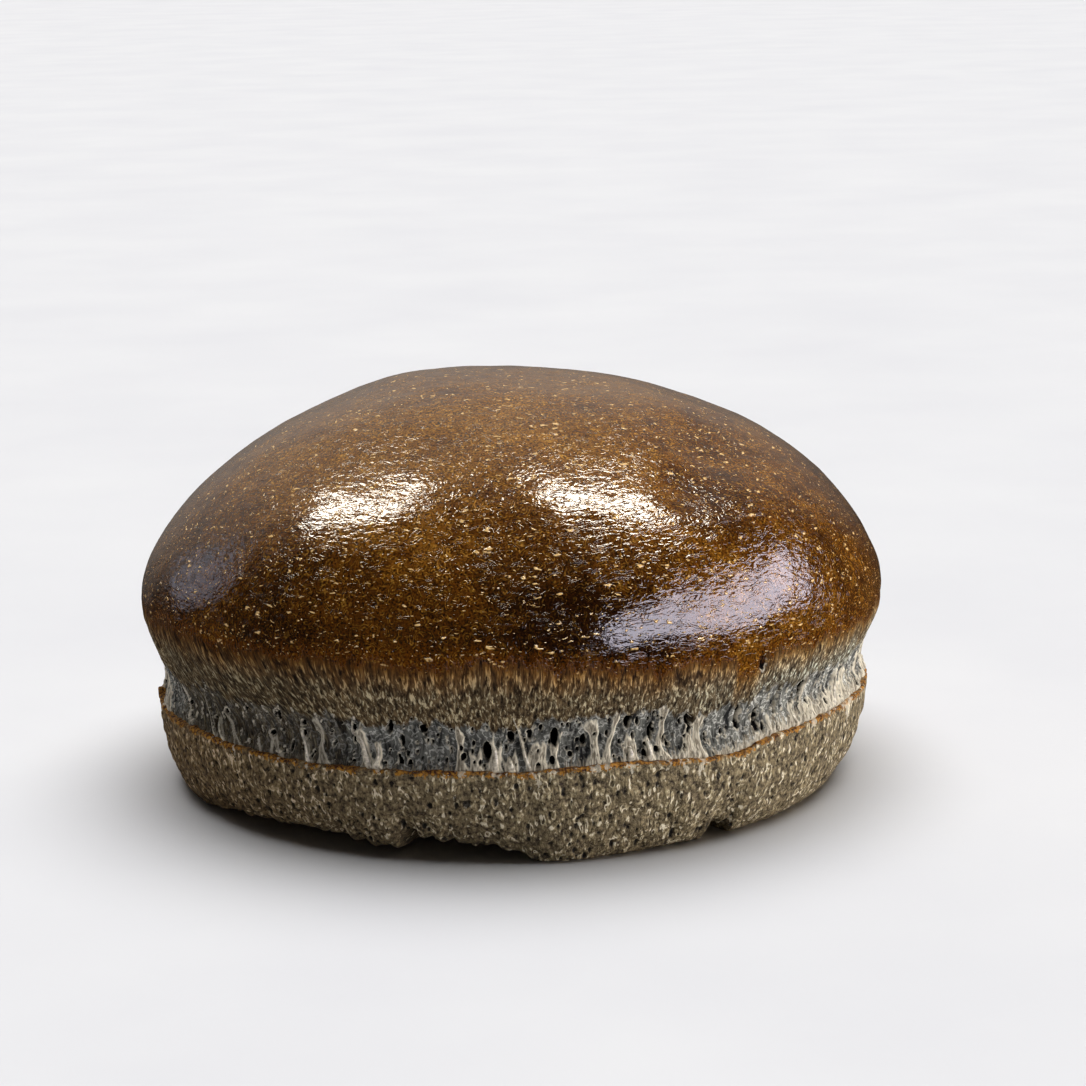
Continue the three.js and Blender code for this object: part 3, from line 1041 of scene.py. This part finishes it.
# %% [markdown]
# ## Building the crust piece
#
# The tone of the crust isn't the same all over. Named spots, as the swellings are, make it lighter on the
# top, which is painted light, and darkest low in front and on the left, which is painted shade. Smaller spots
# vary it elsewhere.

# %% Tone of the crust
# The spot high in front paints light on the top, the spots low in front and on the left paint shade there,
# and the rest are patches of the crust's own tone
# Azimuth, share of the dome's height, width in mm, change of tone
TONE_AND_SHADE_SPOTS = [
    (-95, 0.8, 26, 0.2),
    (-38, 0.66, 10, -0.08),
    (-80, 0.08, 16, -0.68),
    (-125, 0.1, 14, -0.44),
    (-150, 0.2, 12, -0.3),
    (-95, 0.5, 8, -0.06),
    (-35, 0.25, 14, -0.06),
    (-8, 0.35, 18, -0.12),
    (-48, 0.55, 8, -0.15),
    (-135, 0.6, 16, 0.07),
    (0, 0.3, 20, -0.05),
    (60, 0.3, 20, 0.05),
    (120, 0.4, 18, -0.15),
    (175, 0.2, 16, -0.15),
]


def crust_tone_and_shade(points):
    return add_spots(0.5 + 0.1 * noise_at(points, 9), points, TONE_AND_SHADE_SPOTS)


print("tone low in front:", np.round(crust_tone_and_shade(dome_points(np.array([0.08]), np.radians([-80]))), 2))

# %% Rings of the crust
COLUMNS = 1440
DOME_ROWS = 66
# Steps in mm up the band, and the least round the dome
BAND_STEP = 0.27
DOME_STEP = 0.45
# Share of the band above which half the columns are enough
WIDE_ABOVE = 0.72
# Radius in mm of the rings on the hidden floor inside, and points in each
FLOOR_RINGS = [(20, 90), (38, 360), (45, 720), (46.5, COLUMNS)]


def crust_rings():
    """Points, azimuths and share of every ring, from the hidden floor inside to the crown."""
    rings = []
    for radius, count in FLOOR_RINGS:
        angle = azimuths(count)
        rings.append((ring_points(radius, angle, rim_height(angle) + 0.1), angle, HIDDEN))
    for share in np.arange(-0.03, 1, BAND_STEP / BAND_HEIGHT):
        angle = azimuths(COLUMNS if share < WIDE_ABOVE else COLUMNS // 2)
        rings.append((band_points(np.full(len(angle), share), angle), angle, share))
    for turn in np.linspace(0, math.pi / 2, DOME_ROWS, endpoint=False):
        count = COLUMNS // 4
        while 2 * math.pi * EQUATOR_RADIUS * math.cos(turn) / count < DOME_STEP and count > 45:
            count //= 2
        angle = azimuths(count)
        rings.append((dome_points(np.full(count, math.sin(turn)), angle), angle, 1))
    return rings


def make_crust():
    crown = dome_points(np.ones(1), np.zeros(1))[0]
    points, faces, angle, share = gather(crust_rings(), (0, 0, RIM_HEIGHT), crown, 1)
    relief, kinds = band_detail(points, angle, share)
    kinds["tone_and_shade"] = crust_tone_and_shade(points)
    direction = outward(points)
    direction[share < 1, 2] = 0
    direction /= np.linalg.norm(direction, axis=-1, keepdims=True) + 1e-9
    points = points + direction * (relief * (share > HIDDEN))[..., None]
    return make_piece("crust", points, faces, kinds, egg_washed_crust())


crust = make_crust()

# %% [markdown]
# ## The crumbly heel
#
# Real heel: crumb that tore from the tin's wall, dry and matt, with pale curls, small pits painted dark as
# shade, and short fibres just under the rim. Its left side is painted darker and warmer, as shade. The rim
# itself is a thin edge that browned to rust. The crumb and pits are relief on a closed piece that runs under
# the whole roll and comes up inside the band, so no gap shows at the rim.

# %% Relief of the heel
# Azimuth and width in degrees of the calm part and of the left side, which is painted darker and warmer as
# shade
CALM = (-8, 34)
LEFT_SIDE_SHADE = (-160, 42)
# Azimuth and width in degrees, length and rise in mm of a nib on the rim
NIB = (-172, 0.9, 0.2, 1)
# As for the small pores
PITS = (300, 1.15, (0.1, 0.3), (0.8, 2), 0.36, 60)
PIT_DEPTH = 0.36


def heel_detail(points, angle):
    """Relief in mm and kinds of surface of the heel."""
    z = points[..., 2]
    u = angle * NECK_RADIUS
    below = rim_height(angle) - z
    pits = oval_gap(angle, z, *PITS)
    wall = smooth(below / 0.7)
    crumbs = 0.18 * noise_at(points, 1.4) + 0.13 * noise_at(points, 0.6)
    short_fibres = 0.12 * noise(u / 0.45, z / 2, 5.5) * smooth((4 - below) / 3)
    relief = (crumbs + short_fibres) * wall - PIT_DEPTH * inside(pits, PORE_WALL) * wall
    relief = relief * (1 - 0.6 * near_azimuth(angle, *CALM))
    ragged = 0.2 * noise(u / 1.6, 0.5, 8.5) + 0.2 * noise(u / 0.5, 0.5, 9.5)
    relief = relief + (ragged + NIB[2] * near_azimuth(angle, *NIB[:2])) * smooth((0.35 - below) / 0.3)
    kinds = {
        "pore_gap": np.where(below < 0.2, 2.0, pits),
        "rim_gap": np.clip(-below, -3, 3),
        "strand_gap": np.clip(strand_gap(angle, 0 * z) + 0.5 * np.maximum(below + 0.3, 0), -1, 2),
        # Painted shade on the heel's left side
        "browned_and_shaded": near_azimuth(angle, *LEFT_SIDE_SHADE),
    }
    return relief, kinds


print("pits round the heel:", PITS[0], "cells a row, up to", 2 * PITS[2][1], "mm wide")

# %% Colours of the heel
HEEL_DARK = "#3f3325"
HEEL_MIDDLE = "#9c8b69"
HEEL_LIGHT = "#dccca5"
HEEL_LEFT_SHADE = "#e6d3bd"
CURL_PALE = "#f4ead3"
RUST_DARK = "#3c1a02"
RUST_LIGHT = "#bd842e"
RIM_WOBBLE = 1.1


def heel_colour(add, place, fine, curls):
    """Grey-brown crumb with short curly strokes: some darker, some lighter, a few nearly white."""
    shade = add("MapRange", fine, 0.36, 0.6)
    colour = add("MixRGB", shade, HEEL_DARK, HEEL_MIDDLE)
    gaps = add("MapRange", curls, -1, -0.5, 0.6)
    colour = add("VectorMath MULTIPLY", colour, gaps)
    broken = add("TexNoise", place, Scale=1 / 0.9, Detail=2)
    strokes = where_both(add, curls, (0.4, 1), broken, (0.36, 0.54, 0, 0.85))
    colour = add("MixRGB", strokes, colour, HEEL_LIGHT)
    pale = where_both(add, curls, (0.7, 0.98), broken, (0.5, 0.58, 0, 0.9))
    colour = add("MixRGB", pale, colour, CURL_PALE)
    # Painted shade: the left side of the heel is multiplied darker and warmer
    browned_and_shaded = add("Attribute", attribute_name="browned_and_shaded", out="Fac")
    return add("MixRGB", browned_and_shaded, colour, HEEL_LEFT_SHADE, blend_type="MULTIPLY")


def rust_and_foot(add, place, colour):
    """Lays rust on the rim, in broken lengths, then the pale feet of the strands, and paints the pits nearly
    black as shade.
    """
    edge = add("TexNoise", place, Scale=1 / 0.5, Detail=4, Roughness=0.65)
    wobble = add("MapRange", edge, 0, 1, -RIM_WOBBLE, RIM_WOBBLE)
    slow = add("TexNoise", place, Scale=1 / 2.2, Detail=2)
    warm = add("MapRange", edge, 0.42, 0.62)
    rust = add("MixRGB", warm, RUST_DARK, RUST_LIGHT)
    deep = add("Math MULTIPLY_ADD", slow, 1.8, wobble)
    rim = near_edge(add, "rim_gap", deep, 0.84, 0.98)
    whole = add("MapRange", slow, 0.38, 0.46, 0.25)
    rim = add("Math MULTIPLY", rim, whole)
    colour = add("MixRGB", rim, colour, rust)
    foot = near_edge(add, "strand_gap", wobble, -0.3, -0.5, 0, 0.5)
    some = add("MapRange", slow, 0.5, 0.54)
    foot = add("Math MULTIPLY", foot, some)
    colour = add("MixRGB", foot, colour, CURL_PALE)
    small = add("Math MULTIPLY", wobble, 0.2)
    # Painted shade: the pits are nearly black inside
    pit_shade = near_edge(add, "pore_gap", small, 0.1, -0.06, 0, 0.9)
    return add("MixRGB", pit_shade, colour, PAINTED_PORE_SHADE)


print("light crumb in linear light:", np.round(paint(HEEL_LIGHT)[:3], 3))

# %% Material of the heel
CRUMB_ROUGHNESS = 0.8
CRUMB_LEVEL = 0.2
CRUMB_GRAIN = 0.3
CURL_HEIGHT = 0.045


def crumbly_heel():
    material, add, surface, place = start_material("crumbly_heel")
    fine = add("TexNoise", place, Scale=1 / 0.55, Detail=5, Roughness=0.65)
    tall = add("VectorMath MULTIPLY", place, (1, 1, 0.42))
    curls = curly_lines(add, tall, 0.95, 3.4, 2)
    colour = rust_and_foot(add, place, heel_colour(add, place, fine, curls))
    height = add("Math MULTIPLY", fine, CRUMB_GRAIN)
    height = add("Math MULTIPLY_ADD", curls, CURL_HEIGHT, height)
    bump = add("Bump", Strength=1, Distance=MM, Height=height)
    plug(surface, {"Base Color": colour, "Normal": bump})
    plug(surface, {"Roughness": CRUMB_ROUGHNESS, "Specular IOR Level": CRUMB_LEVEL})
    return material


print("crumb relief in the material, mm:", CRUMB_GRAIN, "of grain and", CURL_HEIGHT, "of curls")

# %% Make the heel
HEEL_STEP = 0.3
# Radius in mm of the flat underside's rings and points in each
FLAT_RINGS = [(10, 45), (20, 90), (FLAT_RADIUS, 180)]
# Distance in from the foot in mm and points in the ring
UNDERSIDE_RINGS = [(10, 360), (7, 360), (5, 720), (3.8, 720), (2.8, 720)]
UNDERSIDE_RINGS += [(1.9, 1440), (1.2, 1440), (0.5, 1440)]
# Distance in from the rim and height above it in mm, points in the ring, and whether it carries relief
LEDGE_RINGS = [
    (-0.04, 0.26, 1440, True),
    (0.12, 0.46, 1440, True),
    (0.5, 0.5, 1440, True),
    (1.6, 0.5, 1440, False),
    (5, 0.3, 720, False),
    (12, -1, 360, False),
    (30, -1, 90, False),
]


def heel_rings():
    """Points, azimuths and share of every ring, from the underside's middle to the ledge in the band."""
    rings = []
    for radius, count in FLAT_RINGS:
        angle = azimuths(count)
        rings.append((ring_points(radius, angle, 0), angle, HIDDEN))
    for inset, count in UNDERSIDE_RINGS:
        angle = azimuths(count)
        z = underside(np.full(count, float(inset)), angle)
        rings.append((ring_points(foot_radius(angle) - inset, angle, z), angle, HIDDEN))
    angle = azimuths(COLUMNS)
    for share in np.linspace(0, 1, int(RIM_HEIGHT * 1.12 / HEEL_STEP)):
        rings.append((heel_points(np.full(COLUMNS, share), angle), angle, share))
    for inset, rise, count, shown in LEDGE_RINGS:
        angle = azimuths(count)
        u = angle * RIM_RADIUS
        wavy = 0.24 * noise(u / 1.6, 0.5, 12.5) + 0.18 * noise(u / 0.55, 0.5, 13.5)
        lift = rise + wavy
        if shown:
            lift = lift + NIB[3] * near_azimuth(angle, *NIB[:2])
        points = ring_points(RIM_RADIUS - inset, angle, rim_height(angle) + lift)
        rings.append((points, angle, 1 if shown else HIDDEN))
    return rings


def make_heel():
    points, faces, angle, share = gather(heel_rings(), (0, 0, 0), (0, 0, RIM_HEIGHT - 1), HIDDEN)
    relief, kinds = heel_detail(points, angle)
    flat = points[:, 2] < 0.02
    points = push_out(points, relief * smooth((share + 0.02) / 0.06))
    points[:, 2] = np.where(flat, 0, np.maximum(points[:, 2], 0))
    return make_piece("heel", points, faces, kinds, crumbly_heel())


heel = make_heel()

# %% [markdown]
# ## Round strands in front of the slate skins
#
# The low webs give the band its pale ribs, but real strands also stand free of the skin and cast a small
# shadow. Each is a short closed tube along the same line as its web, thick and flat at its two ends and
# thin between.

# %% Material and path of the strands
GLUTEN_ROUGHNESS = 0.45
TUBE_SIDES = 8
TUBE_STATIONS = 14
TUBE_SHARE = 0.3
TUBE_HALF_WIDTH = 0.7
TUBE_HALF_THICKNESS = 0.24
STAND_OFF = 0.34


def gluten():
    material, add, surface, place = start_material("gluten_strand")
    fine = add("TexNoise", place, Scale=1 / 0.5, Detail=3)
    shade = add("MapRange", fine, 0.3, 0.65)
    colour = add("MixRGB", shade, GLUTEN_SHADE, GLUTEN)
    bump = add("Bump", Strength=0.4, Distance=0.1 * MM, Height=fine)
    plug(surface, {"Base Color": colour, "Normal": bump})
    plug(surface, {"Roughness": GLUTEN_ROUGHNESS, "IOR": EGG_FILM_IOR})
    return material


def strand_tube(i):
    """Rings of one strand, from its foot on the rim to where it joins the fibres."""
    tall = float(strand_place(i, 0.0)[2][0])
    rings = []
    for t in np.linspace(0, 1, TUBE_STATIONS):
        v = mix(-0.25, tall, t)
        azimuth, width, _ = (float(np.ravel(part)[0]) for part in strand_place(i, v))
        base = band_points(np.array(v / BAND_HEIGHT), np.array(azimuth))
        out = np.array([math.cos(azimuth), math.sin(azimuth), 0])
        side = np.array([-math.sin(azimuth), math.cos(azimuth), 0])
        stand_off = STAND_OFF * math.sin(math.pi * t) + 0.02 - 0.3 * t**4
        width = min(width, TUBE_HALF_WIDTH) * mix(0.75, 0.35, t) * (1 if 0 < t < 1 else 0.3)
        thick = min(width, TUBE_HALF_THICKNESS)
        turn = np.arange(TUBE_SIDES) * 2 * math.pi / TUBE_SIDES
        ring = base + out * stand_off + np.outer(np.sin(turn) * thick, out)
        rings.append(ring + np.outer(np.cos(turn) * width, side))
    return rings


print("strands that could stand free:", sum(bool(strand_used(i)[0]) for i in range(STRANDS)))


# %% Make the strands
def make_strands():
    points, faces = [], []
    start = 0
    for i in range(STRANDS):
        if not strand_used(i)[0] or draw(i, 5, 9)[0] > 2 * TUBE_SHARE - 1:
            continue
        rings = strand_tube(i)
        tube, tube_faces = close_rings(rings, rings[0].mean(0), rings[-1].mean(0))
        points.append(tube)
        faces.append(tube_faces + start)
        start += len(tube)
    return make_piece("gluten_strands", np.vstack(points), np.vstack(faces), {}, gluten())


strands = make_strands()

# %% [markdown]
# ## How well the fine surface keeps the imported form
#
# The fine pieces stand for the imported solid, so they have to lie on it. The distance from the packed
# solid's corners to the nearest fine point says so: it should be no more than the relief, which is about a
# millimetre.

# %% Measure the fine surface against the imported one
fine_points = [v.co for piece in (crust, heel) for v in piece.data.vertices]
fine_tree = KDTree(len(fine_points))
for index, co in enumerate(fine_points):
    fine_tree.insert(co, index)
fine_tree.balance()
gaps = [fine_tree.find(v.co)[2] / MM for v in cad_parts["roll"].data.vertices]
print("packed corners to fine surface, mean and most, mm:", np.round([np.mean(gaps), max(gaps)], 2))

# %% [markdown]
# ## Floor
#
# The roll stands on a plain, pale floor, as in the photograph: one large sheet with faint clouds. It is
# hidden from reflections, so that the low side of the dome mirrors the dim sky in front and keeps its deep
# brown.

# %% Floor
FLOOR_HALF = 9
FLOOR_SHADE = "#cfcfd3"
FLOOR_LIGHT = "#dcdcdd"


def make_floor():
    mesh = bpy.data.meshes.new("floor")
    corners = [(x * FLOOR_HALF, y * FLOOR_HALF, 0) for x, y in ((-1, -1), (1, -1), (1, 1), (-1, 1))]
    mesh.from_pydata(corners, [], [(0, 1, 2, 3)])
    floor = new_object("floor", mesh)
    material, add, surface, place = start_material("pale_floor")
    cloud = add("TexNoise", place, Scale=1 / 60, Detail=5)
    colour = add("MixRGB", cloud, FLOOR_SHADE, FLOOR_LIGHT)
    plug(surface, {"Base Color": colour, "Roughness": 1, "Specular IOR Level": 0})
    mesh.materials.append(material)
    floor.visible_glossy = False
    return floor


floor = make_floor()
print("floor, m:", [round(side, 1) for side in floor.dimensions])

# %% [markdown]
# ## Sky
#
# The sky gives the soft grey sheen on the dome's top. It could be one even grey, but then the whole dome
# would look hazy: so it is pale only behind the roll, and dim overhead and in front.

# %% Sky: pale behind, dim overhead and in front
SKY_PALE = "#f4efe8"
SKY_DIM = "#3a3836"
SKY_STRENGTH = 0.58
SKY_CENTRE = (-0.15, 0.76, 0.63)


def make_sky():
    world = bpy.data.worlds.new("studio")
    bpy.context.scene.world = world
    world.use_nodes = True
    tree = world.node_tree
    add = partial(add_node, tree)
    way = add("TexCoord", out="Generated")
    near = add("VectorMath DOT_PRODUCT", way, SKY_CENTRE, out="Value")
    back = add("MapRange", near, 0.6, 0.95)
    colour = add("MixRGB", back, SKY_DIM, SKY_PALE)
    plug(tree.nodes["Background"], {"Color": colour, "Strength": SKY_STRENGTH})


make_sky()
print("the sky is palest at an elevation of", round(math.degrees(math.asin(SKY_CENTRE[2]))), "degrees")

# %% [markdown]
# ## Lamps
#
# A glossy dome shows each lamp where it mirrors it, so the lamps' places were worked out from the
# photograph's highlights: two warm panels overhead, a large cool window low on the right and a faint one
# far on the left. Those are only for the gloss and are left out of the matt light. That comes from one
# broad, soft sun, so the floor stays even, and from a fill lamp low on the right, which lights the roll
# alone and isn't mirrored.

# %% Lamps for the gloss
# Name, direction from the roll, direction of the width, distance, width and height in m, radiance, colour
GLOSS_LAMPS = [
    ("panel_left", (-0.4, 0.29, 0.87), (0.8, -0.55, 0.35), 1.0, 0.4, 0.16, 32, "#fff6e6"),
    ("panel_right", (0.27, 0.21, 0.93), (0.9, 0.2, -0.35), 1.0, 0.46, 0.15, 42, "#fff6e6"),
    ("window", (0.8, -0.37, 0.365), (0.35, 0.94, 0.08), 1.0, 1.55, 0.5, 11.3, "#ece8f9"),
    ("far_side", (-0.84, 0.48, 0.26), (0.5, 0.86, 0), 1.2, 0.4, 0.4, 0.9, "#dfe6ff"),
]
FILL = ("fill", (1, -0.2, 0.13), (0.2, 1, 0), 1.0, 0.9, 0.25, 12, "#fffaf4")
LAMP_AIM = 30
SUN_DIRECTION = (0.1, 0.2, 1)
SUN_ANGLE = 64
SUN_STRENGTH = 3.7


def make_lamp(name, direction, across, distance, width, height, radiance, colour):
    """A rectangle that faces the roll and isn't seen itself."""
    data = bpy.data.lights.new(name, "AREA")
    data.shape = "RECTANGLE"
    data.size = width
    data.size_y = height
    data.energy = radiance * math.pi * width * height
    data.color = paint(colour)[:3]
    lamp = new_object(name, data)
    away = Vector(direction).normalized()
    side = Vector(across)
    side = (side - away * side.dot(away)).normalized()
    lamp.matrix_world = Matrix((side, away.cross(side), away)).transposed().to_4x4()
    lamp.location = away * distance + Vector((0, 0, LAMP_AIM * MM))
    lamp.visible_camera = False
    return lamp


def make_sun():
    data = bpy.data.lights.new("soft_sun", "SUN")
    data.energy = SUN_STRENGTH
    data.angle = math.radians(SUN_ANGLE)
    sun = new_object("soft_sun", data)
    sun.rotation_euler = Vector(SUN_DIRECTION).to_track_quat("Z", "Y").to_euler()
    sun.visible_glossy = False
    return sun


def make_fill():
    """Matt light from low on the right. It lights the roll and not the floor."""
    fill = make_lamp(*FILL)
    fill.visible_glossy = False
    lit = bpy.data.collections.new("lit_by_fill")
    for piece in (crust, heel, strands):
        lit.objects.link(piece)
    fill.light_linking.receiver_collection = lit


for values in GLOSS_LAMPS:
    make_lamp(*values).visible_diffuse = False
make_fill()
make_sun()
bpy.context.scene.view_settings.view_transform = "Standard"
print("lamps:", [values[0] for values in GLOSS_LAMPS + [FILL]])
